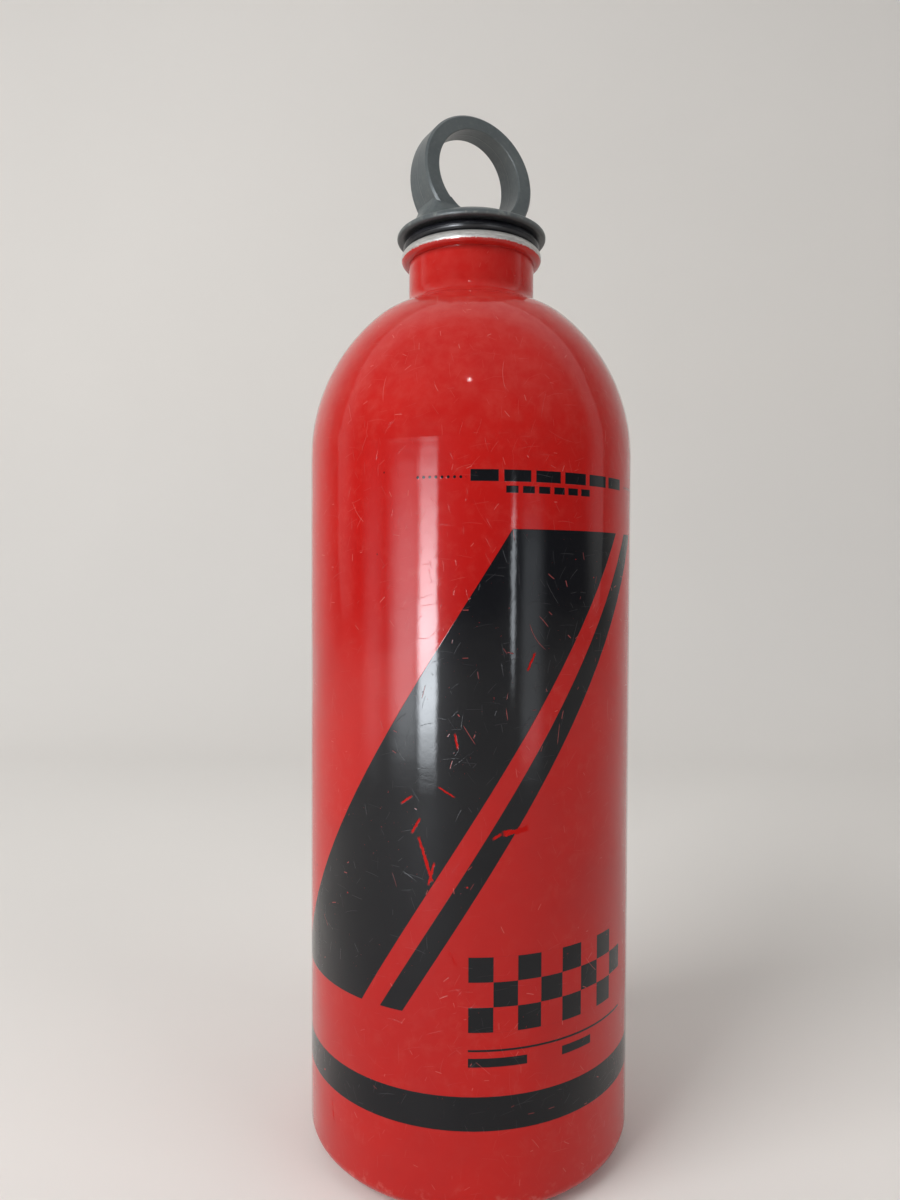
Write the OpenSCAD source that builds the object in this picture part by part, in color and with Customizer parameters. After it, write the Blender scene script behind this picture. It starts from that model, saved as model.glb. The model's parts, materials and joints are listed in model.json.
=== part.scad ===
// Camping fuel bottle: a drawn aluminium flask with a rolled lip, a threaded
// ring pressed into its neck, a rubber seal and a moulded screw cap whose
// finger ring also serves to hang the bottle.
// The origin is the centre of the base, +Z is up, and all sizes are in mm.

/* [Body] */
// Outside diameter of the straight barrel
body_d = 74; // [64:0.5:82]
// Height from the standing face to the top of the lip
bottle_h = 204; // [150:1:300]
// Thickness of the drawn wall
wall_t = 0.9; // [0.6:0.1:1.4]

/* [Base] */
// Radius of the tight turn where the barrel meets the base
knuckle_r = 2.8; // [2:0.1:4]
// Angle of that tight turn before the broad turn takes over
knuckle_a = 62; // [50:1:70]
// Radius of the broad turn under the edge of the base
sweep_r = 18.5; // [14:0.5:24]
// Width of the flat ring that the bottle stands on
foot_w = 1.6; // [1:0.1:4]
// Depth of the dished middle of the base
dish_h = 4; // [2:0.25:8]

/* [Shoulder and neck] */
// Radius of the lower, wide arc of the shoulder
shoulder_r = 41.4; // [36:0.2:50]
// Angle through which the lower arc runs
shoulder_a = 49; // [35:1:55]
// Radius of the upper, tighter arc of the shoulder
crown_r = 18.2; // [12:0.2:22]
// Radius of the hollow where the shoulder turns up into the neck
neck_fillet_r = 3.4; // [2:0.1:5]
// Outside diameter of the neck
neck_d = 29.1; // [27:0.1:33]
// Length of the straight neck, up to the top of the lip
neck_h = 10.2; // [8:0.1:16]

/* [Lip] */
// How far the rolled lip stands out from the neck
lip_out = 1.75; // [1.2:0.05:2.5]
// Height of the rolled lip
lip_h = 3; // [2.4:0.1:4]
// Width of the flat band left between the two round corners of the lip
lip_band_w = 0.1; // [0.05:0.05:0.3]

/* [Thread] */
// Distance that one full turn lifts the cap
thread_pitch = 3; // [2.5:0.1:3.5]
// Height of a thread rib above its wall
thread_depth = 1.2; // [0.9:0.05:1.3]
// Width of a thread rib where it leaves its wall
rib_foot_w = 1.7; // [1.2:0.05:1.8]
// Width of a thread rib at its crest
rib_crest_w = 0.7; // [0.4:0.05:0.9]
// Wall of the threaded ring behind its ribs
ring_wall = 1.4; // [1:0.05:1.6]
// Length of the threaded ring
thread_ring_h = 14.5; // [12:0.25:18]
// How far the threaded ring lies below the top of the lip
thread_ring_drop = 0.6; // [0.3:0.1:1.5]
// Chamfer on the inner edges of the threaded ring
ring_chamfer = 0.5; // [0.3:0.05:0.7]

/* [Seal] */
// Height of the seal when it is squeezed between lip and flange
seal_h = 2.4; // [2:0.1:3.2]
// Radial width of the seal
seal_w = 3.3; // [2.8:0.1:3.6]

/* [Cap] */
// Diameter of the flange that covers the lip
flange_d = 34.6; // [33:0.1:38]
// Thickness of the flange at its round rim
flange_t = 1.6; // [1.4:0.1:2.4]
// Rise of the hub above the flange
hub_h = 2.2; // [2:0.1:2.8]
// Slope of the cone that leads from the rim up to the hub
hub_slope = 27; // [24:0.5:30]
// Diameter of the domed top of the hub, where the cone ends
hub_dome_d = 27.2; // [25:0.2:29]
// Length of the threaded shank below the flange
shank_h = 17.4; // [15:0.2:20]
// Wall of the hollow shank
shank_wall = 2; // [1.4:0.1:2.6]
// Length of the lead-in cone at the end of the shank
shank_lead = 1.2; // [0.6:0.1:2]
// How far the roof of the hollow shank lies below the flange
shank_roof_drop = 0.8; // [0.5:0.1:1.5]
// How far the collar for the seal stands out past the thread
collar_step = 0.3; // [0.2:0.05:0.4]

/* [Finger ring] */
// Outside diameter of the finger ring
loop_d = 28.2; // [27.8:0.1:29]
// Diameter of the hole through the finger ring
loop_hole_d = 21.1; // [20:0.1:22]
// Thickness of the finger ring at its top
loop_top_t = 3.4; // [3:0.1:4]
// Width of the finger ring along its axis, at half height
loop_w = 8.2; // [7.6:0.1:8.8]
// Slope of both faces, which makes the finger ring narrower towards its top
loop_taper = 6; // [4:0.5:7]
// Bevel on the outer edges of both faces
loop_bevel = 0.45; // [0.2:0.05:0.6]
// Bevel on the edges of the hole
loop_hole_bevel = 0.25; // [0.15:0.05:0.4]
// Height above the flange at which the foot of the finger ring starts to spread
loop_root_h = 7.4; // [7.2:0.1:8]
// Radius of the hollow in which the foot spreads
loop_root_r = 4.5; // [4:0.1:5.4]
// Slope at which the hollow ends, before the foot runs straight into the hub
loop_root_a = 45; // [40:1:55]
// Distance of both ends of the foot from the bottle's axis
loop_root_x = 12; // [11.6:0.1:12.1]
// Radius of the corners of the foot
loop_root_round = 1.6; // [1.2:0.1:2.4]
// How far the foot is set in from the faces of the finger ring
loop_root_set = 0.06; // [0.04:0.01:0.2]
// Thickness of the finger ring over the hub, under its hole
loop_sill = 0.25; // [0.2:0.05:0.6]
// How far the finger ring is turned about the bottle's axis when shut
loop_yaw = 30; // [0:1:90]

/* [Fits] */
// Clearance between the ribs of one thread and the wall of the other
thread_gap = 0.25; // [0.2:0.05:0.3]
// Clearance between the seal and the collar that carries it
seal_gap = 0.25; // [0.1:0.05:0.4]
// Gap left between the collar and the lip
collar_gap = 0.2; // [0.1:0.05:0.5]

/* [Hidden] */
$fn = 96;

// Reach of cutting and clipping shapes, past every part
far = 2 * (bottle_h + body_d);
// Overrun of cutting shapes past the face that they open
over = 1;
// Angle by which neighbouring arcs of the outline run into each other
lap_a = 5;

body_r = body_d / 2;
neck_r = neck_d / 2;
neck_bore_r = neck_r - wall_t;

// Base: centre of the tight turn, centre of the broad turn, and the dish
sweep_in = knuckle_r + (sweep_r - knuckle_r) * cos(knuckle_a);
knuckle_z = sweep_r - (sweep_r - knuckle_r) * sin(knuckle_a);
knuckle_c = [body_r - knuckle_r, knuckle_z];
sweep_c = [body_r - sweep_in, sweep_r];
foot_r = body_r - sweep_in;
dish_rim_r = foot_r - foot_w;
dish_r = (dish_rim_r * dish_rim_r + dish_h * dish_h) / (2 * dish_h);

// Shoulder: each arc is tangent to the next, and the last to the neck
neck_z = bottle_h - neck_h;
fillet_x = neck_r + neck_fillet_r;
crown_x = body_r - shoulder_r + (shoulder_r - crown_r) * cos(shoulder_a);
crown_a = acos((fillet_x - crown_x) / (crown_r + neck_fillet_r));
crown_z = neck_z - (crown_r + neck_fillet_r) * sin(crown_a);
shoulder_z = crown_z - (shoulder_r - crown_r) * sin(shoulder_a);
shoulder_c = [body_r - shoulder_r, shoulder_z];
crown_c = [crown_x, crown_z];
fillet_c = [fillet_x, neck_z];

// Lip: a flat sealing land on top of two round corners
lip_r = neck_r + lip_out;
lip_z = bottle_h - lip_h;
lip_round = min((lip_h - lip_band_w) / 2, lip_out - lip_band_w);

// Thread: the ring sets the radii, and the shank follows with clearance
ring_bore_r = neck_bore_r - ring_wall;
ring_crest_r = ring_bore_r - thread_depth;
shank_crest_r = ring_bore_r - thread_gap;
shank_r = ring_crest_r - thread_gap;
ring_top_z = bottle_h - thread_ring_drop;
ring_base_z = ring_top_z - thread_ring_h;
// Sections of a rib in one turn, the depth of its root in the wall, and
// the angle over which each of its ends fades away
rib_steps = 36;
rib_root = 0.4;
rib_fade = 45;

// Seal and flange stand on the lip
flange_z = bottle_h + seal_h;
flange_r = flange_d / 2;
collar_r = shank_crest_r + collar_step;
collar_h = seal_h - collar_gap;
seal_in_r = collar_r + seal_gap;
seal_round = seal_h / 2;

// Shank and its thread: the rib runs up to the relief under the collar
shank_z = flange_z - shank_h;
shank_bore_r = shank_r - shank_wall;
shank_roof_z = flange_z - shank_roof_drop;
rib_low_z = shank_z + shank_lead + rib_foot_w / 2;
rib_high_z = flange_z - collar_h - rib_foot_w;
ring_rib_low = ring_base_z + ring_chamfer + rib_foot_w / 2;
ring_rib_top = ring_top_z - ring_chamfer - rib_foot_w / 2;
// Half a pitch sets the ribs of the ring midway between those of the shank
rib_shift = ceil((ring_rib_low - rib_low_z) / thread_pitch - 0.5) + 0.5;
ring_rib_low_z = rib_low_z + rib_shift * thread_pitch;

// Flange: the cone of the hub leaves its round rim where that is half as steep
rim_r = flange_t / 2;
rim_c = [flange_r - rim_r, flange_z + rim_r];
cone_low = rim_c + rim_r * [sin(hub_slope / 2), cos(hub_slope / 2)];
hub_dome_x = hub_dome_d / 2;
cone_top_z = cone_low[1] + (cone_low[0] - hub_dome_x) * tan(hub_slope);

// Finger ring: the hole stands on its sill, and the top sets the ring's centre
hub_top_z = flange_z + flange_t + hub_h;
loop_r = loop_d / 2;
loop_hole_r = loop_hole_d / 2;
loop_hole_z = hub_top_z + loop_sill + loop_hole_r;
loop_z = loop_hole_z + loop_hole_r + loop_top_t - loop_r;
// Its foot is an oblong with round corners, and its sides spread downwards
root_z = flange_z + loop_root_h;
root_w = loop_w / 2 + (loop_z - root_z) * tan(loop_taper) - loop_root_set;
root_base_z = flange_z + flange_t / 2;
root_round_x = loop_root_x - loop_root_round;
root_round_y = root_w - loop_root_round;

// Slice of a round disc between two directions seen from its centre
module sector(c, r, a1, a2) {
    mid = (a1 + a2) / 2;
    translate(c)
        intersection() {
            circle(r);
            polygon([
                [0, 0],
                far * [cos(a1), sin(a1)],
                far * [cos(mid), sin(mid)],
                far * [cos(a2), sin(a2)]
            ]);
        }
}

// Half outline of the flask up to the mouth, shrunk inwards by inset
module flask_outline(inset) {
    intersection() {
        translate([0, inset])
            square([far, bottle_h + far]);
        union() {
            // Barrel and the straight part under it
            translate([0, knuckle_z])
                square([body_r - inset, shoulder_z - knuckle_z]);
            square([foot_r, knuckle_z + wall_t]);
            // Turns of the base
            sector(knuckle_c, knuckle_r - inset, -knuckle_a - lap_a, lap_a);
            sector(sweep_c, sweep_r - inset, -90 - lap_a, -knuckle_a);
            // Two arcs of the shoulder
            sector(shoulder_c, shoulder_r - inset, -lap_a, shoulder_a);
            sector(crown_c, crown_r - inset, shoulder_a - lap_a, crown_a + lap_a);
            // Hollow turn into the neck
            difference() {
                polygon([[0, shoulder_z], crown_c, fillet_c, [0, neck_z]]);
                translate(fillet_c)
                    circle(neck_fillet_r + inset);
            }
            // Neck
            translate([0, neck_z])
                square([neck_r - inset, neck_h]);
        }
    }
}

// Rolled lip round the mouth
module lip_outline() {
    flat_w = lip_r - lip_round - neck_bore_r;
    translate([neck_bore_r, lip_z])
        square([flat_w, lip_h]);
    translate([lip_r - 2 * lip_round, lip_z + lip_round])
        square([2 * lip_round, lip_h - 2 * lip_round]);
    for (z = [lip_z + lip_round, bottle_h - lip_round])
        translate([lip_r - lip_round, z])
            circle(lip_round);
}

// Round dish pressed up into the base, grown by inset for its inner face
module dish_outline(inset) {
    translate([0, dish_h - dish_r])
        circle(dish_r + inset);
}

// One helical rib from z_low to z_high whose ends fade into the wall.
// wall_r is the wall it stands on and crest_r its tip, inside or outside.
module thread_rib(wall_r, crest_r, z_low, z_high) {
    out = crest_r > wall_r ? 1 : -1;
    root_r = wall_r - out * rib_root;
    count = floor((z_high - z_low) / thread_pitch * rib_steps);
    step_a = 360 / rib_steps;
    fade = rib_fade / step_a;
    // The end sections lie wholly inside the wall
    least = rib_root / (rib_root + abs(crest_r - wall_r)) / 2;
    function grow(i) = max(least, min(1, i / fade, (count - i) / fade));
    function tip(i) = root_r + (crest_r - root_r) * grow(i);
    function at(i, r, dz) = [
        r * cos(i * step_a),
        r * sin(i * step_a),
        z_low + i * thread_pitch / rib_steps + dz
    ];
    points = [
        for (i = [0 : count])
            each [
                at(i, root_r, -rib_foot_w / 2),
                at(i, root_r, rib_foot_w / 2),
                at(i, tip(i), rib_crest_w / 2),
                at(i, tip(i), -rib_crest_w / 2)
            ]
    ];
    // Four corners a section: j is the corner, the next one closes the side
    sides = [
        for (i = [0 : count - 1], j = [0 : 3])
            each [
                [4 * i + j, 4 * i + 4 + (j + 1) % 4, 4 * i + (j + 1) % 4],
                [4 * i + j, 4 * i + 4 + j, 4 * i + 4 + (j + 1) % 4]
            ]
    ];
    low_end = [[0, 1, 2], [0, 2, 3]];
    high_end = [
        [4 * count, 4 * count + 2, 4 * count + 1],
        [4 * count, 4 * count + 3, 4 * count + 2]
    ];
    faces = concat(sides, low_end, high_end);
    // Seen from outside, each face runs clockwise
    turned = [for (f = faces) [f[0], f[2], f[1]]];
    polyhedron(points, out > 0 ? faces : turned, convexity = 10);
}

// Seamless shell: base, barrel, shoulder, neck and rolled lip in one piece
module bottle_shell() {
    color([0.74, 0.11, 0.10])
        rotate_extrude()
            difference() {
                intersection() {
                    square([far, bottle_h]);
                    union() {
                        flask_outline(0);
                        lip_outline();
                    }
                }
                dish_outline(0);
                // Room inside, open at the mouth
                difference() {
                    union() {
                        flask_outline(wall_t);
                        translate([0, neck_z])
                            square([neck_bore_r, far]);
                    }
                    dish_outline(wall_t);
                }
            }
}

// Aluminium ring pressed into the neck, with the female thread
module thread_ring() {
    color([0.76, 0.77, 0.78]) {
        rotate_extrude()
            difference() {
                translate([ring_bore_r, ring_base_z])
                    square([ring_wall, thread_ring_h]);
                for (z = [ring_base_z, ring_top_z])
                    translate([ring_bore_r, z])
                        rotate(45)
                            square(ring_chamfer * sqrt(2), center = true);
            }
        thread_rib(ring_bore_r, ring_crest_r, ring_rib_low_z, ring_rib_top);
    }
}

// Rubber seal, squeezed flat above and below
module o_ring() {
    color([0.10, 0.10, 0.11])
        rotate_extrude()
            translate([seal_in_r, bottle_h]) {
                translate([seal_round, 0])
                    square([seal_w - 2 * seal_round, seal_h]);
                for (x = [seal_round, seal_w - seal_round])
                    translate([x, seal_round])
                        circle(seal_round);
            }
}

// Flange with a full round rim, and the cone and shallow dome of the hub
module flange_outline() {
    crown_rise = hub_top_z - cone_top_z;
    dome_r = (pow(hub_dome_x, 2) + pow(crown_rise, 2)) / (2 * crown_rise);
    translate(rim_c)
        circle(rim_r);
    polygon([
        [0, flange_z],
        [rim_c[0], flange_z],
        rim_c,
        cone_low,
        [hub_dome_x, cone_top_z],
        [0, cone_top_z]
    ]);
    intersection() {
        translate([0, rim_c[1]])
            square([hub_dome_x, hub_top_z - rim_c[1]]);
        translate([0, hub_top_z - dome_r])
            circle(dome_r);
    }
}

// Hollow shank with the collar that centres the seal
module shank_outline() {
    translate([0, flange_z - collar_h])
        square([collar_r, collar_h]);
    translate([0, shank_z + shank_lead])
        square([shank_r, shank_h - shank_lead]);
    polygon([
        [0, shank_z],
        [shank_r - shank_lead / 2, shank_z],
        [shank_r, shank_z + shank_lead],
        [0, shank_z + shank_lead]
    ]);
}

// Round block on the inner side of one face of the finger ring, bevelled at the rim
module loop_face() {
    translate([0, 0, loop_w / 2])
        rotate([-loop_taper, 0, 0])
            rotate_extrude()
                polygon([
                    [0, 0],
                    [0, -2 * loop_w],
                    [loop_r + loop_w / 2, -2 * loop_w],
                    [loop_r + loop_w / 2, -loop_bevel - loop_w / 2],
                    [loop_r - loop_bevel, 0]
                ]);
}

// Outer body of the finger ring, lying flat, with its top towards +Y
module loop_body() {
    intersection() {
        cylinder(r = loop_r, h = 2 * loop_w, center = true);
        loop_face();
        rotate([0, 180, 0])
            loop_face();
    }
}

// Half outline of the foot: a hollow side that ends in a straight slope
module root_outline(half) {
    hollow_c = [half + loop_root_r, root_z];
    end = hollow_c - loop_root_r * [sin(loop_root_a), cos(loop_root_a)];
    drop = end[1] - root_base_z;
    difference() {
        translate([0, root_base_z])
            square([end[0], root_z - root_base_z]);
        translate(hollow_c)
            circle(loop_root_r);
    }
    polygon([
        [0, root_base_z],
        [end[0] + drop / tan(loop_root_a), root_base_z],
        end,
        [0, end[1]]
    ]);
}

// Foot of the finger ring: two sides, two ends and a round at each corner
module loop_root() {
    rotate([90, 0, 90])
        linear_extrude(2 * root_round_x, center = true)
            for (side = [0, 1])
                mirror([side, 0])
                    root_outline(root_w);
    rotate([90, 0, 0])
        linear_extrude(2 * root_round_y, center = true)
            for (side = [0, 1])
                mirror([side, 0])
                    root_outline(loop_root_x);
    for (x = [-root_round_x, root_round_x], y = [-root_round_y, root_round_y])
        translate([x, y, 0])
            rotate_extrude()
                root_outline(loop_root_round);
}

// Countersink of the hole in one face of the finger ring
module loop_hole_edge() {
    wide = loop_hole_r + loop_hole_bevel;
    translate([0, 0, loop_w / 2])
        rotate([-loop_taper, 0, 0])
            rotate_extrude()
                polygon([
                    [0, -wide],
                    [wide + over, over],
                    [0, over]
                ]);
}

// Hole of the finger ring, whose edges are countersunk down to the foot
module loop_hole() {
    cylinder(r = loop_hole_r, h = 4 * loop_w, center = true);
    intersection() {
        union() {
            loop_hole_edge();
            rotate([0, 180, 0])
                loop_hole_edge();
        }
        translate([-far / 2, root_z + loop_hole_bevel - loop_hole_z, -far / 2])
            cube(far);
    }
}

// Finger ring on its foot, facing along Y
module finger_ring() {
    difference() {
        union() {
            intersection() {
                translate([0, 0, loop_z])
                    rotate([90, 0, 0])
                        loop_body();
                translate([-far / 2, -far / 2, root_base_z])
                    cube(far);
            }
            loop_root();
        }
        translate([0, 0, loop_hole_z])
            rotate([90, 0, 0])
                loop_hole();
    }
}

// Cap: finger ring, hub, flange and threaded shank moulded in one
module cap() {
    color([0.33, 0.36, 0.36]) {
        difference() {
            union() {
                rotate_extrude() {
                    flange_outline();
                    shank_outline();
                }
                rotate(loop_yaw)
                    finger_ring();
            }
            translate([0, 0, shank_z - over])
                cylinder(r = shank_bore_r, h = shank_roof_z - shank_z + over);
        }
        thread_rib(shank_r, shank_crest_r, rib_low_z, rib_high_z);
    }
}

bottle_shell();
thread_ring();
o_ring();
cap();
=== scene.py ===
import json
import math

import bpy
from mathutils import Matrix, Vector


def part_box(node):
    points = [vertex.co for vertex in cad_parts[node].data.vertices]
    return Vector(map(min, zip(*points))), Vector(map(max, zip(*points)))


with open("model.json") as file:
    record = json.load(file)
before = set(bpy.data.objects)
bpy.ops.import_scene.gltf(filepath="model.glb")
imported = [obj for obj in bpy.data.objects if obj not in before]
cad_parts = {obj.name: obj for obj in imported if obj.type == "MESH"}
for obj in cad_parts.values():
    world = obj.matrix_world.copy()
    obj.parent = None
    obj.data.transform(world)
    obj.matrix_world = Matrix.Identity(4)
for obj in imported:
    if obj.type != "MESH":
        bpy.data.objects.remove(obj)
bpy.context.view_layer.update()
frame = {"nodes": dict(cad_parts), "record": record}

MM = 1000.0

# Sizes taken from the frame
shell_low, shell_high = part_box("bottle_shell")
body_r = shell_high.x
lip_top_z = shell_high.z
mounts = {mount["name"]: mount for mount in frame["record"]["mounts"]}
ring_axis = tuple(mounts["ring_hole"]["axis"])


# Camera: focal length in pixels of the picture's height, place in metres, turns in radians

IMAGE_H = 1200
FOCAL_PX = 867.12
SENSOR = 36.0
CAMERA_BACK = 0.20523
CAMERA_UP = 0.12843
CAMERA_PITCH = -0.0255
CAMERA_ROLL = 0.0036
CAMERA_YAW = -0.0228


def photo_camera():
    """Camera at the photograph's place, tilt and focal length."""
    data = bpy.data.cameras.new("photo_camera")
    data.sensor_width = SENSOR
    data.sensor_fit = "AUTO"
    data.lens = FOCAL_PX / IMAGE_H * SENSOR
    data.clip_start = 0.01
    data.clip_end = 50.0
    camera = bpy.data.objects.new("photo_camera", data)
    bpy.context.scene.collection.objects.link(camera)
    level = math.cos(CAMERA_PITCH)
    ahead = Vector((
        math.sin(CAMERA_YAW) * level,
        math.cos(CAMERA_YAW) * level,
        math.sin(CAMERA_PITCH),
    ))
    side = Vector((math.cos(CAMERA_YAW), -math.sin(CAMERA_YAW), 0.0))
    up = side.cross(ahead)
    right = side * math.cos(CAMERA_ROLL) + up * math.sin(CAMERA_ROLL)
    top = up * math.cos(CAMERA_ROLL) - side * math.sin(CAMERA_ROLL)
    turn = Matrix((right, top, -ahead)).transposed().to_4x4()
    camera.matrix_world = Matrix.Translation((0.0, -CAMERA_BACK, CAMERA_UP)) @ turn
    bpy.context.scene.camera = camera


photo_camera()


# Nodes

def tint(red, green, blue):
    """Colour from the 0 to 255 values of a screen colour."""
    def linear(value):
        share = value / 255.0
        return share / 12.92 if share <= 0.04045 else ((share + 0.055) / 1.055) ** 2.4
    return (linear(red), linear(green), linear(blue), 1.0)


class Wiring:
    """Adds nodes to one material or group and joins them."""

    def __init__(self, tree):
        self.tree = tree

    def feed(self, socket, value):
        if isinstance(value, bpy.types.NodeSocket):
            self.tree.links.new(value, socket)
        else:
            socket.default_value = value

    def node(self, kind, inputs=None, **settings):
        made = self.tree.nodes.new(kind)
        for name, value in settings.items():
            setattr(made, name, value)
        for key, value in (inputs or {}).items():
            self.feed(made.inputs[key], value)
        return made

    def math(self, operation, *values):
        made = self.node("ShaderNodeMath", operation=operation)
        for socket, value in zip(made.inputs, values):
            self.feed(socket, value)
        return made.outputs[0]

    def add(self, a, b):
        return self.math("ADD", a, b)

    def less(self, a, b):
        return self.math("SUBTRACT", a, b)

    def times(self, a, b):
        return self.math("MULTIPLY", a, b)

    def most(self, *values):
        """The largest of several masks."""
        result = values[0]
        for value in values[1:]:
            result = self.math("MAXIMUM", result, value)
        return result

    def ease(self, value, start, end, low=0.0, high=1.0):
        """Smooth step from low at start to high at end."""
        made = self.node("ShaderNodeMapRange", {
            "Value": value, "From Min": start, "From Max": end, "To Min": low, "To Max": high,
        }, interpolation_type="SMOOTHSTEP")
        return made.outputs["Result"]

    def within(self, value, centre, half, soft):
        """Mask that is 1 where value lies within half of centre."""
        away = self.math("ABSOLUTE", self.less(value, centre))
        return self.ease(away, half + soft, half - soft)

    def point(self, x, y, z=0.0):
        return self.node("ShaderNodeCombineXYZ", {"X": x, "Y": y, "Z": z}).outputs[0]

    def split(self, vector):
        """The outputs X, Y and Z of a vector."""
        return self.node("ShaderNodeSeparateXYZ", {0: vector}).outputs

    def chances(self, cells):
        """Random numbers of each cell, under the names Red, Green and Blue."""
        return self.node("ShaderNodeSeparateColor", {0: cells.outputs["Color"]}).outputs

    def noise(self, place, scale, detail=2.0, roughness=0.5):
        made = self.node("ShaderNodeTexNoise", {
            "Vector": place, "Scale": scale, "Detail": detail, "Roughness": roughness,
        })
        return made.outputs["Fac"]

    def blend(self, share, below, above):
        """Colour that goes from below to above as share goes from 0 to 1."""
        made = self.node("ShaderNodeMix", {0: share, 6: below, 7: above}, data_type="RGBA")
        return made.outputs[2]

    def mixed(self, share, below, above):
        """Number that goes from below to above as share goes from 0 to 1."""
        made = self.node("ShaderNodeMix", {0: share, 2: below, 3: above}, data_type="FLOAT")
        return made.outputs[0]

    def use(self, group, **inputs):
        """Places a shared group and returns its outputs by name."""
        made = self.node("ShaderNodeGroup", node_tree=group)
        for name, value in inputs.items():
            self.feed(made.inputs[name], value)
        return made.outputs


def shared_group(name, inputs, outputs):
    """New node group with number sockets, or vector sockets for names in capitals."""
    tree = bpy.data.node_groups.new(name, "ShaderNodeTree")
    for names, side in ((inputs, "INPUT"), (outputs, "OUTPUT")):
        for socket in names:
            kind = "NodeSocketVector" if socket.isupper() else "NodeSocketFloat"
            tree.interface.new_socket(name=socket, in_out=side, socket_type=kind)
    wire = Wiring(tree)
    start = wire.node("NodeGroupInput")
    end = wire.node("NodeGroupOutput")
    return tree, wire, start.outputs, end.inputs


def unrolled_group():
    """Place on the bottle in mm: round the barrel, up the axis, and out from it."""
    tree, wire, _, out = shared_group("unrolled", [], ["around", "height", "radius", "PLACE"])
    place = wire.node("ShaderNodeTexCoord").outputs["Object"]
    scale = {0: place, 1: (MM, MM, MM)}
    scaled = wire.node("ShaderNodeVectorMath", scale, operation="MULTIPLY").outputs[0]
    split = wire.split(scaled)
    angle = wire.math("ARCTAN2", split["X"], wire.times(split["Y"], -1.0))
    square = wire.add(wire.times(split["X"], split["X"]), wire.times(split["Y"], split["Y"]))
    wire.feed(out["around"], wire.times(angle, body_r * MM))
    wire.feed(out["height"], split["Z"])
    wire.feed(out["radius"], wire.math("SQRT", square))
    wire.feed(out["PLACE"], scaled)
    return tree


# Most that a scratch bends, in mm to each square mm of its run
SCRATCH_BEND = 0.12


def scratch_group():
    """Fine scratches, one to a cell, each with its own slant, bend, length and depth."""
    inputs = ["across", "along", "cell", "length", "width", "share", "slant", "spread", "seed"]
    tree, wire, given, out = shared_group("scratches", inputs, ["mask"])
    cell = given["cell"]
    across = wire.add(wire.math("DIVIDE", given["across"], cell), given["seed"])
    along = wire.math("DIVIDE", given["along"], cell)
    place = {"Vector": wire.point(across, along), "Scale": 1.0}
    cells = wire.node("ShaderNodeTexVoronoi", place, voronoi_dimensions="2D")
    chance = wire.chances(cells)
    middle = wire.split(cells.outputs["Position"])
    dx = wire.times(wire.less(across, middle["X"]), cell)
    dy = wire.times(wire.less(along, middle["Y"]), cell)
    angle = wire.add(given["slant"], wire.times(wire.less(chance["Red"], 0.5), given["spread"]))
    cosine = wire.math("COSINE", angle)
    sine = wire.math("SINE", angle)
    run = wire.add(wire.times(dx, cosine), wire.times(dy, sine))
    off = wire.less(wire.times(dy, cosine), wire.times(dx, sine))
    bend = wire.times(wire.less(chance["Green"], 0.5), SCRATCH_BEND)
    off = wire.add(off, wire.times(wire.times(run, run), bend))
    reach = wire.times(given["length"], wire.add(wire.times(chance["Green"], 0.7), 0.3))
    ends = wire.ease(wire.math("ABSOLUTE", run), reach, wire.times(reach, 0.6))
    line = wire.ease(wire.math("ABSOLUTE", off), given["width"], wire.times(given["width"], 0.3))
    drawn = wire.math("LESS_THAN", chance["Blue"], given["share"])
    depth = wire.add(wire.times(wire.math("DIVIDE", chance["Blue"], given["share"]), 0.7), 0.3)
    wire.feed(out["mask"], wire.times(wire.times(ends, line), wire.times(drawn, depth)))
    return tree


def speck_group():
    """Round specks of mixed size scattered over the surface."""
    tree, wire, given, out = shared_group("specks", ["PLACE", "cell", "size", "share"], ["mask"])
    inverse = wire.math("DIVIDE", 1.0, given["cell"])
    cells = wire.node("ShaderNodeTexVoronoi", {"Vector": given["PLACE"], "Scale": inverse})
    chance = wire.chances(cells)
    radius = wire.times(given["size"], wire.add(wire.times(chance["Red"], 0.8), 0.2))
    radius = wire.math("DIVIDE", radius, given["cell"])
    dot = wire.ease(cells.outputs["Distance"], radius, wire.times(radius, 0.5))
    drawn = wire.math("LESS_THAN", chance["Green"], given["share"])
    wire.feed(out["mask"], wire.times(dot, drawn))
    return tree


UNROLLED = unrolled_group()
SCRATCHES = scratch_group()
SPECKS = speck_group()


def new_material(name, **constants):
    """Material with one Principled shader, whose plain numbers are set on the shader."""
    material = bpy.data.materials.new(name)
    material.use_nodes = True
    tree = material.node_tree
    tree.nodes.clear()
    wire = Wiring(tree)
    shader = wire.node("ShaderNodeBsdfPrincipled")
    output = wire.node("ShaderNodeOutputMaterial")
    tree.links.new(shader.outputs[0], output.inputs["Surface"])
    for socket, value in constants.items():
        shader.inputs[socket.replace("_", " ")].default_value = value
    return material, wire, shader


def bump(wire, shader, height, depth_mm):
    """Relief under the finish and its coat: height 1 stands depth_mm proud of height 0."""
    depth = depth_mm / MM
    made = wire.node("ShaderNodeBump", {"Height": height, "Strength": 1.0, "Distance": depth})
    wire.feed(shader.inputs["Normal"], made.outputs[0])
    wire.feed(shader.inputs["Coat Normal"], made.outputs[0])


# Print on the shell, in mm round the front and up from the base

BASE_BAND_Z = (19.3, 26.2)
# Dotted fill line: middle and half length of each row of dots
FILL_LINE_Z = 148.0
FILL_ROWS = ((-5.8, 5.0), (46.0, 5.0))
FILL_DOTS = 190
FILL_DOT_R = 0.30
# Plain bars, each with its start and end round the bottle, and its middle and half height
BARS = (
    (0.0, 40.0, 35.4, 0.22),
    (0.0, 12.0, 33.0, 0.9),
    (20.0, 28.0, 33.0, 0.9),
)
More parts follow.
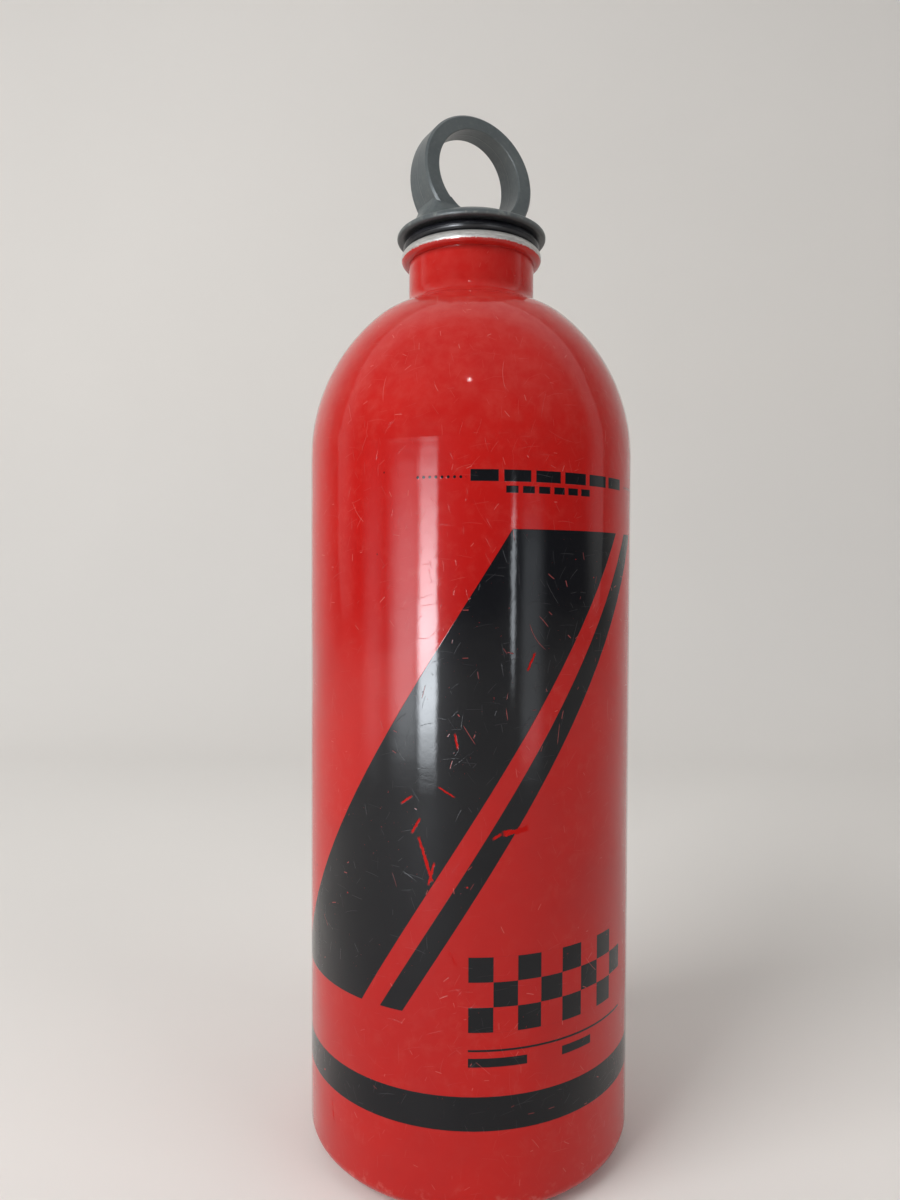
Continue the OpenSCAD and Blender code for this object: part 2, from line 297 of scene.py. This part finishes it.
# Rows of dashes: start, end, pitch, share of it that is black, middle and half height
DASHES = (
    (0.0, 39.6, 6.6, 0.84, 148.35, 1.15),
    (7.0, 27.4, 3.4, 0.74, 145.7, 0.70),
)
CHEQUER_AROUND = (0.0, 40.0)
CHEQUER_Z = (39.0, 54.0)
CHEQUER_SQUARE = 5.0
SLANT = math.radians(58)
SLANT_CENTRE = (-5.0, 94.0)
SLANT_ENDS_Z = (42.0, 138.0)
# Slanted stripes: how far each lies from the middle one, and its half width
STRIPES = ((0.0, 12.0), (-18.2, 2.2))
INK_EDGE = 0.06


def ink_mask(wire, around, height):
    """Black print: base band, fill line, dashes, bars, a chequer and slanted stripes."""
    def between(value, low, high):
        return wire.within(value, (low + high) / 2, (high - low) / 2, INK_EDGE)

    def block(start, end, middle, half):
        return wire.times(between(around, start, end), wire.within(height, middle, half, INK_EDGE))

    def dashes(start, end, pitch, share, middle, half):
        step = wire.math("FLOORED_MODULO", wire.less(around, start), pitch)
        piece = wire.within(step, pitch * share / 2, pitch * share / 2, INK_EDGE)
        return wire.times(piece, block(start, end, middle, half))

    band = between(height, *BASE_BAND_Z)
    pitch = 2 * math.pi * body_r * MM / FILL_DOTS
    step = wire.less(wire.math("FLOORED_MODULO", around, pitch), pitch / 2)
    rise = wire.less(height, FILL_LINE_Z)
    away = wire.math("SQRT", wire.add(wire.times(step, step), wire.times(rise, rise)))
    dots = wire.ease(away, FILL_DOT_R + INK_EDGE, FILL_DOT_R - INK_EDGE)
    dotted = [wire.within(around, place, half, INK_EDGE) for place, half in FILL_ROWS]
    dots = wire.times(dots, wire.most(*dotted))
    column = wire.math("FLOOR", wire.times(wire.less(around, CHEQUER_AROUND[0]), 1 / CHEQUER_SQUARE))
    row = wire.math("FLOOR", wire.times(wire.less(height, CHEQUER_Z[0]), 1 / CHEQUER_SQUARE))
    black = wire.math("LESS_THAN", wire.math("FLOORED_MODULO", wire.add(column, row), 2.0), 0.5)
    chequer = wire.times(between(around, *CHEQUER_AROUND), between(height, *CHEQUER_Z))
    chequer = wire.times(black, chequer)
    across = wire.less(around, SLANT_CENTRE[0])
    rise = wire.less(height, SLANT_CENTRE[1])
    off = wire.less(wire.times(rise, math.cos(SLANT)), wire.times(across, math.sin(SLANT)))
    stripes = wire.most(*[wire.within(off, place, half, INK_EDGE) for place, half in STRIPES])
    stripes = wire.times(stripes, between(height, *SLANT_ENDS_Z))
    pieces = [dashes(*dash_row) for dash_row in DASHES] + [block(*bar) for bar in BARS]
    return wire.most(band, dots, stripes, chequer, *pieces)


# Colours

LACQUER_RED = tint(181, 24, 19)
LACQUER_DEEP = tint(170, 19, 16)
# Paler red, for faded lacquer and for the painted sheen high on the shoulder
LACQUER_FADED_AND_SHEEN = tint(184, 66, 59)
LACQUER_CUT = tint(226, 150, 140)
PRINT_BLACK = tint(14, 15, 19)
PRINT_WORN = tint(84, 80, 84)
GRIME = tint(60, 16, 15)
BARE_METAL = tint(226, 224, 220)
BARE_METAL_DULL = tint(180, 178, 175)
CAP_GREY = tint(86, 92, 93)
CAP_PALE = tint(132, 137, 133)
CAP_DARK = tint(74, 80, 82)
# Dark grey painted as shade under the cap's rim
CAP_PAINTED_SHADE = tint(38, 40, 42)
SEAL_BLACK = tint(14, 15, 21)
SEAL_PALE = tint(52, 54, 60)
FLOOR_PALE = tint(229, 226, 222)
FLOOR_TONE = tint(222, 219, 215)

# Ragged end of the lacquer at the lip: height, and depth of its teeth and waves
PAINT_END_Z = 202.0
PAINT_TEETH = 0.8
PAINT_WAVES = 0.3
# Line drawn round the shoulder
SHOULDER_LINE_Z = 155.0
# Turn of the shoulder, which the spinning left slightly uneven
SPUN_Z = 160.0
# Height of a paler band high on the shoulder: painted sheen, the room's light put into the lacquer's
# colour
SHEEN_Z = 186.0
# Wear that cuts through the print: place round and up, slant in degrees, half length and width
WORN_PLACES = (
    (9.4, 78.7, 8, 2.6, 0.55),
    (5.6, 77.8, 30, 0.9, 0.25),
    (-8.6, 73.0, 108, 4.4, 0.28),
    (-7.4, 70.2, 75, 2.2, 0.22),
    (-10.6, 79.5, 60, 1.6, 0.24),
    (-4.4, 86.5, 150, 1.7, 0.16),
    (-12.6, 84.5, 35, 1.3, 0.20),
    (-2.5, 96.5, 100, 1.4, 0.18),
    (12.4, 112.0, 65, 1.8, 0.20),
)
# Height under which a face that looks up is the floor inside
INSIDE_LOW_Z = 8.0
# Relief of each piece: films stand proud, cuts and dents go in, and the rest is the
# slight waviness and grain of the surface
SHELL_RELIEF = {
    "lacquer": 0.05, "ink": 0.010, "cuts": -0.022, "hairs": -0.016, "dents": -0.07,
    "drawn_line": -0.008, "waves": 0.030, "spun": 0.16, "fine": 0.014, "grain": 0.0020,
    "brushed": 0.012,
}
CAP_RELIEF = {"grain": 0.003, "fine": 0.012, "seam": 0.04, "side_lines": -0.010, "scuffs": -0.010}
SEAL_RELIEF = {"fine": 0.012, "seam": 0.03}
TURNED_RELIEF = 0.02
# Height at which the foot of the finger ring has left the hub
RING_FROM_Z = 211.0
# How far over the lip the seal's mould line runs
SEAL_SEAM_UP = 1.2
# Painted shade under the cap's rim: below this height the cap's colour is darkened as shade
RIM_SHADE_Z = 206.8
# Share of that painted shade on the shank, which is darkened less
SHANK_SHADE = 0.25


def wear_marks(wire, spot):
    """Masks of the wear on the shell: hairlines, nicks, gouges, specks and chips."""
    around, height, place = spot["around"], spot["height"], spot["PLACE"]
    fine = wire.noise(place, 0.35, 4.0, 0.6)
    ragged = wire.noise(place, 1.3, 3.0, 0.6)
    handled = wire.ease(wire.noise(place, 0.045, 2.0), 0.40, 0.62)

    def lines(cell, length, width, share, slant, spread, seed):
        """Scratches, one to a cell and in a given share of the cells."""
        return wire.use(
            SCRATCHES, across=around, along=height, cell=cell, length=length, width=width,
            share=share, slant=slant, spread=spread, seed=seed,
        )["mask"]

    def worn_place(middle, level, degrees, reach, half):
        """One ragged mark through the print."""
        angle = math.radians(degrees)
        dx, dy = wire.less(around, middle), wire.less(height, level)
        run = wire.add(wire.times(dx, math.cos(angle)), wire.times(dy, math.sin(angle)))
        off = wire.less(wire.times(dy, math.cos(angle)), wire.times(dx, math.sin(angle)))
        off = wire.add(off, wire.times(wire.less(ragged, 0.5), half * 2.6))
        return wire.times(wire.within(run, 0.0, reach, 0.4), wire.within(off, 0.0, half, 0.08))

    often = wire.mixed(handled, 0.30, 0.95)
    seldom = wire.mixed(handled, 0.10, 0.45)
    hairs = wire.most(
        lines(3.6, 1.9, 0.06, often, 1.45, 1.6, 23.9),
        lines(5.0, 2.6, 0.05, often, 0.10, 0.6, 41.2),
        lines(7.5, 4.2, 0.06, seldom, 1.30, 3.1, 57.5),
    )
    nicks = wire.most(
        lines(4.6, 1.0, 0.12, seldom, 1.2, 3.1, 11.3),
        lines(13.0, 3.6, 0.08, seldom, 1.9, 1.2, 3.7),
    )
    gouges = lines(23.0, 3.6, 0.42, 0.22, 1.75, 1.3, 71.9)
    gouges = wire.times(gouges, wire.ease(ragged, 0.44, 0.52))
    gouges = wire.most(gouges, *[worn_place(*mark) for mark in WORN_PLACES])
    specks = wire.use(SPECKS, PLACE=place, cell=5.5, size=0.32, share=0.26)["mask"]
    chips = wire.use(SPECKS, PLACE=place, cell=3.4, size=0.30, share=0.10)["mask"]
    return {
        "fine": fine, "handled": handled, "hairs": hairs, "nicks": nicks,
        "gouges": gouges, "specks": specks, "chips": chips,
    }


def bare_parts(wire, spot):
    """Mask of the bare metal: above the ragged end of the lacquer, and inside."""
    around, height, radius = spot["around"], spot["height"], spot["radius"]
    teeth = wire.noise(wire.point(wire.times(around, 3.2), wire.times(height, 0.8)), 1.0, 2.0, 0.6)
    waves = wire.noise(wire.point(wire.times(around, 0.09), 0.0), 1.0, 1.0)
    teeth = wire.times(wire.less(teeth, 0.5), PAINT_TEETH)
    waves = wire.times(wire.less(waves, 0.5), PAINT_WAVES)
    paint_end = wire.add(wire.add(teeth, waves), PAINT_END_Z)
    above_lacquer = wire.ease(wire.less(height, paint_end), -0.05, 0.05)
    normal = wire.split(wire.node("ShaderNodeNewGeometry").outputs["Normal"])
    place = wire.split(spot["PLACE"])
    outward = wire.add(wire.times(normal["X"], place["X"]), wire.times(normal["Y"], place["Y"]))
    outward = wire.math("DIVIDE", outward, wire.math("MAXIMUM", radius, 0.01))
    inner_wall = wire.math("LESS_THAN", outward, -0.15)
    faces_up = wire.math("GREATER_THAN", normal["Z"], 0.5)
    inner_floor = wire.times(faces_up, wire.math("LESS_THAN", height, INSIDE_LOW_Z))
    return wire.most(above_lacquer, inner_wall, inner_floor)


def stacked(wire, masks, depths):
    """Relief that adds up the masks, each at its own depth."""
    total = 0.0
    for name, mask in masks.items():
        total = wire.add(total, wire.times(mask, depths[name]))
    return total


def lacquer_colour(wire, height, wear, broad):
    """Red lacquer, faded where hands and sun got at it, with its cuts and grime, and a painted pale
    sheen high on the shoulder.
    """
    fine = wear["fine"]
    foot_scuff = wire.times(wire.ease(height, 9.0, 2.0), wire.ease(fine, 0.56, 0.74))
    faded = wire.times(wire.ease(fine, 0.45, 0.8), wire.mixed(wear["handled"], 0.08, 0.26))
    # Painted sheen: the lacquer turns paler up the shoulder and in a band near its top
    tone_share = wire.times(wire.within(height, SHEEN_Z, 4.0, 5.0), 0.30)
    tone_share = wire.add(tone_share, wire.ease(height, 148.0, 168.0, 0.0, 0.28))
    tone_share = wire.times(tone_share, wire.ease(fine, 0.10, 0.70))
    red = wire.blend(wire.ease(broad, 0.35, 0.65), LACQUER_DEEP, LACQUER_RED)
    red = wire.blend(faded, red, LACQUER_FADED_AND_SHEEN)
    red = wire.blend(tone_share, red, LACQUER_FADED_AND_SHEEN)
    red = wire.blend(wire.times(wear["hairs"], 0.09), red, LACQUER_CUT)
    red = wire.blend(wire.times(wire.most(wear["nicks"], foot_scuff), 0.24), red, LACQUER_CUT)
    return wire.blend(wire.times(wear["specks"], 0.8), red, GRIME)


def lacquer_material():
    """Red lacquer with worn black print, bare metal at the lip and inside."""
    material, wire, shader = new_material(
        "red_lacquer", Coat_Roughness=0.07, Coat_IOR=1.33, IOR=1.45, Specular_IOR_Level=0.05,
    )
    spot = wire.use(UNROLLED)
    around, height, radius, place = spot["around"], spot["height"], spot["radius"], spot["PLACE"]
    wear = wear_marks(wire, spot)
    fine, hairs, nicks, gouges = wear["fine"], wear["hairs"], wear["nicks"], wear["gouges"]
    bare = bare_parts(wire, spot)
    broad = wire.noise(place, 0.022, 3.0, 0.55)
    grain = wire.noise(place, 2.2, 3.0, 0.6)

    # Ink, thinned by grain and broken where something cut it
    broken = wire.most(wear["chips"], wire.times(nicks, 0.6), gouges, wire.ease(grain, 0.72, 0.77))
    ink = wire.times(ink_mask(wire, around, height), wire.less(1.0, broken))
    black = wire.blend(wire.times(wire.most(hairs, nicks), 0.38), PRINT_BLACK, PRINT_WORN)
    colour = wire.blend(ink, lacquer_colour(wire, height, wear, broad), black)

    # Bare metal with brush marks round the lip
    brush = wire.point(wire.times(around, 0.25), wire.times(height, 9.0), radius)
    brushed = wire.noise(brush, 1.0, 4.0, 0.65)
    metal = wire.blend(wire.ease(brushed, 0.3, 0.7), BARE_METAL_DULL, BARE_METAL)
    colour = wire.blend(bare, colour, metal)

    gloss = wire.add(wire.mixed(wire.ease(broad, 0.3, 0.7), 0.26, 0.36), wire.times(fine, 0.10))
    gloss = wire.mixed(wire.most(nicks, hairs, gouges), gloss, 0.55)
    gloss = wire.mixed(bare, gloss, wire.mixed(brushed, 0.30, 0.50))
    uncoated = wire.most(bare, gouges)
    coat = wire.times(wire.less(1.0, uncoated), wire.mixed(wear["handled"], 1.0, 0.85))

    spun = wire.noise(place, 0.10, 2.0, 0.6)
    relief = stacked(wire, {
        "lacquer": wire.less(1.0, bare),
        "ink": ink,
        "cuts": wire.most(nicks, gouges),
        "hairs": hairs,
        "dents": wire.use(SPECKS, PLACE=place, cell=31.0, size=3.2, share=0.20)["mask"],
        "drawn_line": wire.within(height, SHOULDER_LINE_Z, 0.5, 0.9),
        "waves": wire.noise(place, 0.16, 1.0),
        "spun": wire.times(wire.within(height, SPUN_Z, 7.0, 8.0), spun),
        "fine": fine,
        "grain": grain,
        "brushed": wire.times(brushed, bare),
    }, SHELL_RELIEF)
    wire.feed(shader.inputs["Base Color"], colour)
    wire.feed(shader.inputs["Metallic"], wire.times(bare, 0.65))
    wire.feed(shader.inputs["Roughness"], gloss)
    wire.feed(shader.inputs["Coat Weight"], coat)
    bump(wire, shader, relief, 1.0)
    return material


def cap_material():
    """Satin grey plastic with a moulding seam, fine grain, scuffs, a rubbed rim and painted shade
    under the rim.
    """
    material, wire, shader = new_material("cap_plastic", IOR=1.5)
    spot = wire.use(UNROLLED)
    place, height, radius = spot["PLACE"], spot["height"], spot["radius"]
    along_axis = {0: place, 1: ring_axis}
    off_face = wire.node("ShaderNodeVectorMath", along_axis, operation="DOT_PRODUCT").outputs["Value"]
    on_ring = wire.ease(height, RING_FROM_Z - 0.6, RING_FROM_Z + 0.6)
    seam = wire.times(wire.within(off_face, 0.0, 0.12, 0.08), on_ring)
    side_lines = wire.times(wire.within(wire.math("ABSOLUTE", off_face), 1.55, 0.10, 0.08), on_ring)
    broad = wire.noise(place, 0.10, 3.0, 0.55)
    fine = wire.noise(place, 0.9, 4.0, 0.6)
    grain = wire.noise(place, 5.5, 2.0, 0.6)
    scuffs = wire.use(
        SCRATCHES, across=off_face, along=height, cell=3.2, length=1.3, width=0.05,
        share=0.5, slant=1.5, spread=2.4, seed=5.1,
    )["mask"]
    rim_rub = wire.times(wire.ease(radius, 16.7, 17.2), wire.ease(fine, 0.48, 0.70))
    dust = wire.use(SPECKS, PLACE=place, cell=3.0, size=0.14, share=0.12)["mask"]
    colour = wire.blend(wire.ease(broad, 0.30, 0.70), CAP_DARK, CAP_GREY)
    colour = wire.blend(wire.times(wire.ease(fine, 0.45, 0.80), 0.18), colour, CAP_PALE)
    colour = wire.blend(wire.times(wire.most(scuffs, rim_rub), 0.40), colour, CAP_PALE)
    colour = wire.blend(wire.times(seam, 0.30), colour, CAP_DARK)
    colour = wire.blend(wire.times(dust, 0.4), colour, CAP_PALE)
    # Painted shade: the grey darkens under the rim, and less on the shank
    rim_shade = wire.ease(height, RIM_SHADE_Z + 0.3, RIM_SHADE_Z - 0.3)
    rim_shade = wire.times(rim_shade, wire.mixed(fine, 0.8, 1.0))
    rim_shade = wire.times(rim_shade, wire.ease(radius, 12.4, 14.0, SHANK_SHADE, 1.0))
    colour = wire.blend(rim_shade, colour, CAP_PAINTED_SHADE)
    gloss = wire.add(0.30, wire.times(fine, 0.14))
    gloss = wire.mixed(wire.most(scuffs, rim_rub), gloss, 0.52)
    masks = {"grain": grain, "fine": fine, "seam": seam, "side_lines": side_lines, "scuffs": scuffs}
    wire.feed(shader.inputs["Base Color"], colour)
    wire.feed(shader.inputs["Roughness"], gloss)
    bump(wire, shader, stacked(wire, masks, CAP_RELIEF), 1.0)
    return material


def seal_material():
    """Black rubber with a mould line, dust and slight bloom."""
    material, wire, shader = new_material("seal_rubber", IOR=1.45)
    spot = wire.use(UNROLLED)
    place, height = spot["PLACE"], spot["height"]
    fine = wire.noise(place, 0.8, 4.0, 0.6)
    bloom = wire.ease(wire.noise(place, 0.16, 2.0), 0.45, 0.75)
    dust = wire.use(SPECKS, PLACE=place, cell=1.6, size=0.08, share=0.15)["mask"]
    seam = wire.within(height, lip_top_z * MM + SEAL_SEAM_UP, 0.06, 0.05)
    colour = wire.blend(wire.times(bloom, 0.25), SEAL_BLACK, SEAL_PALE)
    colour = wire.blend(wire.times(dust, 0.5), colour, SEAL_PALE)
    relief = stacked(wire, {"fine": fine, "seam": seam}, SEAL_RELIEF)
    wire.feed(shader.inputs["Base Color"], colour)
    wire.feed(shader.inputs["Roughness"], wire.add(0.16, wire.times(fine, 0.16)))
    bump(wire, shader, relief, 1.0)
    return material


def turned_metal():
    """Turned aluminium of the threaded ring, with tool marks and a dull film."""
    material, wire, shader = new_material("turned_aluminium", Metallic=1.0)
    spot = wire.use(UNROLLED)
    turned = wire.point(
        wire.times(spot["around"], 0.05), wire.times(spot["height"], 11.0), spot["radius"],
    )
    marks = wire.noise(turned, 1.0, 3.0, 0.6)
    tone_share = wire.ease(wire.noise(spot["PLACE"], 0.18, 3.0), 0.4, 0.7)
    colour = wire.blend(tone_share, BARE_METAL, BARE_METAL_DULL)
    wire.feed(shader.inputs["Base Color"], colour)
    wire.feed(shader.inputs["Roughness"], wire.add(0.20, wire.times(wire.add(marks, tone_share), 0.14)))
    bump(wire, shader, marks, TURNED_RELIEF)
    return material


def finish_node(node, material):
    """Gives a CAD node its finish in place of the plain one that it came with."""
    data = frame["nodes"][node].data
    data.materials.clear()
    data.materials.append(material)


finish_node("bottle_shell", lacquer_material())
finish_node("thread_ring", turned_metal())
finish_node("o_ring", seal_material())
finish_node("cap", cap_material())


# Floor, backdrop and light

FLOOR_HALF = 3.0
WALL_BACK = 0.75
WALL_BEND_R = 0.35
WALL_TOP = 1.9
BEND_STEPS = 24


def pale_sweep():
    """Floor that curves up behind the bottle into a plain wall."""
    bend_y = WALL_BACK - WALL_BEND_R
    outline = [(-FLOOR_HALF, 0.0)]
    for i in range(BEND_STEPS + 1):
        angle = math.pi / 2 * i / BEND_STEPS
        rise = WALL_BEND_R * (1 - math.cos(angle))
        outline.append((bend_y + WALL_BEND_R * math.sin(angle), rise))
    outline.append((WALL_BACK, WALL_TOP))
    points = [(x, y, z) for y, z in outline for x in (-FLOOR_HALF, FLOOR_HALF)]
    faces = [(2 * i, 2 * i + 1, 2 * i + 3, 2 * i + 2) for i in range(len(outline) - 1)]
    mesh = bpy.data.meshes.new("pale_sweep")
    mesh.from_pydata(points, [], faces)
    for face in mesh.polygons:
        face.use_smooth = True
    sweep = bpy.data.objects.new("pale_sweep", mesh)
    bpy.context.scene.collection.objects.link(sweep)
    material, wire, shader = new_material("pale_floor", Roughness=0.85)
    place = wire.node("ShaderNodeTexCoord").outputs["Object"]
    tone = wire.noise(place, 3.0, 2.0)
    wire.feed(shader.inputs["Base Color"], wire.blend(tone, FLOOR_PALE, FLOOR_TONE))
    mesh.materials.append(material)


def new_lamp(name, width, height, glow, location, away):
    """Flat lamp that faces against away, with the same glow whatever its size."""
    data = bpy.data.lights.new(name, "AREA")
    data.shape = "RECTANGLE"
    data.size, data.size_y = width, height
    data.energy = glow * math.pi * width * height
    lamp = bpy.data.objects.new(name, data)
    lamp.location = location
    lamp.rotation_mode = "QUATERNION"
    lamp.rotation_quaternion = away.to_track_quat("Z", "Y")
    lamp.visible_camera = False
    bpy.context.scene.collection.objects.link(lamp)
    return lamp


def bearing(azimuth, elevation=0.0):
    """Direction from the bottle, with azimuth 0 in front and 90 on the right."""
    turn, rise = math.radians(azimuth), math.radians(elevation)
    level = math.cos(rise)
    return Vector((math.sin(turn) * level, -math.cos(turn) * level, math.sin(rise)))


def soft_panel(name, azimuth, elevation, distance, size, glow):
    """Large soft light that shapes the bottle but leaves no outline in its gloss."""
    away = bearing(azimuth, elevation)
    place = Vector((0.0, 0.0, PANEL_AIM_Z)) + away * distance
    lamp = new_lamp(name, size, size, glow, place, away)
    lamp.visible_glossy = False


# Distance of the panes from the bottle's axis, and the colour of their light
PANE_BACK = 0.36
PANE_COLOUR = (0.88, 0.94, 1.0, 1.0)


def standing_pane(name, azimuths, heights, glow, sides, ends):
    """Upright pane that shows in the gloss, with soft sides and ends as shares of its size."""
    left, right = azimuths
    low, high = heights
    away = bearing((left + right) / 2)
    width = 2 * PANE_BACK * math.tan(math.radians(right - left) / 2)
    place = away * PANE_BACK + Vector((0.0, 0.0, (low + high) / 2))
    lamp = new_lamp(name, width, high - low, glow, place, away)
    lamp.visible_diffuse = False
    lamp.data.use_nodes = True
    tree = lamp.data.node_tree
    tree.nodes.clear()
    wire = Wiring(tree)
    spot = wire.split(wire.node("ShaderNodeNewGeometry").outputs["Parametric"])
    strength = 1.0
    for value, (first, last) in ((spot["X"], sides), (spot["Y"], ends)):
        strength = wire.times(strength, wire.ease(value, 0.0, first))
        strength = wire.times(strength, wire.ease(value, 1.0, 1.0 - last))
    emission = wire.node("ShaderNodeEmission", {"Strength": strength, "Color": PANE_COLOUR})
    output = wire.node("ShaderNodeOutputLight")
    tree.links.new(emission.outputs[0], output.inputs["Surface"])


# Soft panels: bearing, elevation, distance, size and glow
PANELS = {
    "key_panel": (-51, 31, 1.3, 0.8, 7.9),
    "fill_panel": (58, 30, 1.5, 0.8, 2.4),
}
# Height of the point that the soft panels face
PANEL_AIM_Z = 0.12
# Small lamp that makes the bright spot on the shoulder: bearing, height aimed at, size and glow
SMALL_LAMP_AT = (-2, 44)
SMALL_LAMP_AIM_Z = 0.16
SMALL_LAMP_SIZE = 0.03
SMALL_LAMP_GLOW = 60.0
# Windows and walls that the gloss shows: bearings, heights, glow, soft sides and soft ends
PANES = {
    "window": ((-35.0, -19.5), (0.002, 0.226), 36.0, (0.30, 0.18), (0.28, 0.58)),
    "window_side": ((-58.0, -31.0), (0.002, 0.226), 6.5, (0.55, 0.25), (0.25, 0.50)),
    "gap": ((26.0, 29.6), (0.055, 0.190), 13.0, (0.35, 0.35), (0.32, 0.30)),
    "right_wall": ((31.0, 52.0), (0.002, 0.190), 1.8, (0.30, 0.50), (0.20, 0.30)),
    "left_wall": ((-78.0, -54.0), (0.002, 0.220), 1.2, (0.50, 0.50), (0.20, 0.40)),
}


# Light of the room in front of the bottle and behind it
ROOM_DIM = (0.10, 0.10, 0.105, 1.0)
ROOM_PALE = (0.70, 0.70, 0.69, 1.0)


def small_lamp():
    """Small bright lamp, one metre away, with a sharp spot in the gloss."""
    away = bearing(*SMALL_LAMP_AT)
    place = Vector((0.0, 0.0, SMALL_LAMP_AIM_Z)) + away
    new_lamp("small_lamp", SMALL_LAMP_SIZE, SMALL_LAMP_SIZE, SMALL_LAMP_GLOW, place, away)


def pale_room():
    """Even room light, pale behind the bottle and dim in front, where its gloss shows it."""
    world = bpy.data.worlds.new("pale_room")
    world.use_nodes = True
    tree = world.node_tree
    tree.nodes.clear()
    wire = Wiring(tree)
    towards = wire.split(wire.node("ShaderNodeTexCoord").outputs["Generated"])
    behind = wire.ease(towards["Y"], -0.12, 0.14)
    overhead = wire.ease(towards["Z"], 0.30, 0.85)
    room = wire.blend(wire.most(behind, wire.times(overhead, 0.45)), ROOM_DIM, ROOM_PALE)
    back = wire.node("ShaderNodeBackground", {"Color": room, "Strength": 1.0})
    output = wire.node("ShaderNodeOutputWorld")
    tree.links.new(back.outputs[0], output.inputs["Surface"])
    bpy.context.scene.world = world


pale_sweep()
pale_room()
for panel, sizes in PANELS.items():
    soft_panel(panel, *sizes)
for pane, sizes in PANES.items():
    standing_pane(pane, *sizes)
small_lamp()

bpy.context.scene.view_settings.view_transform = "Standard"
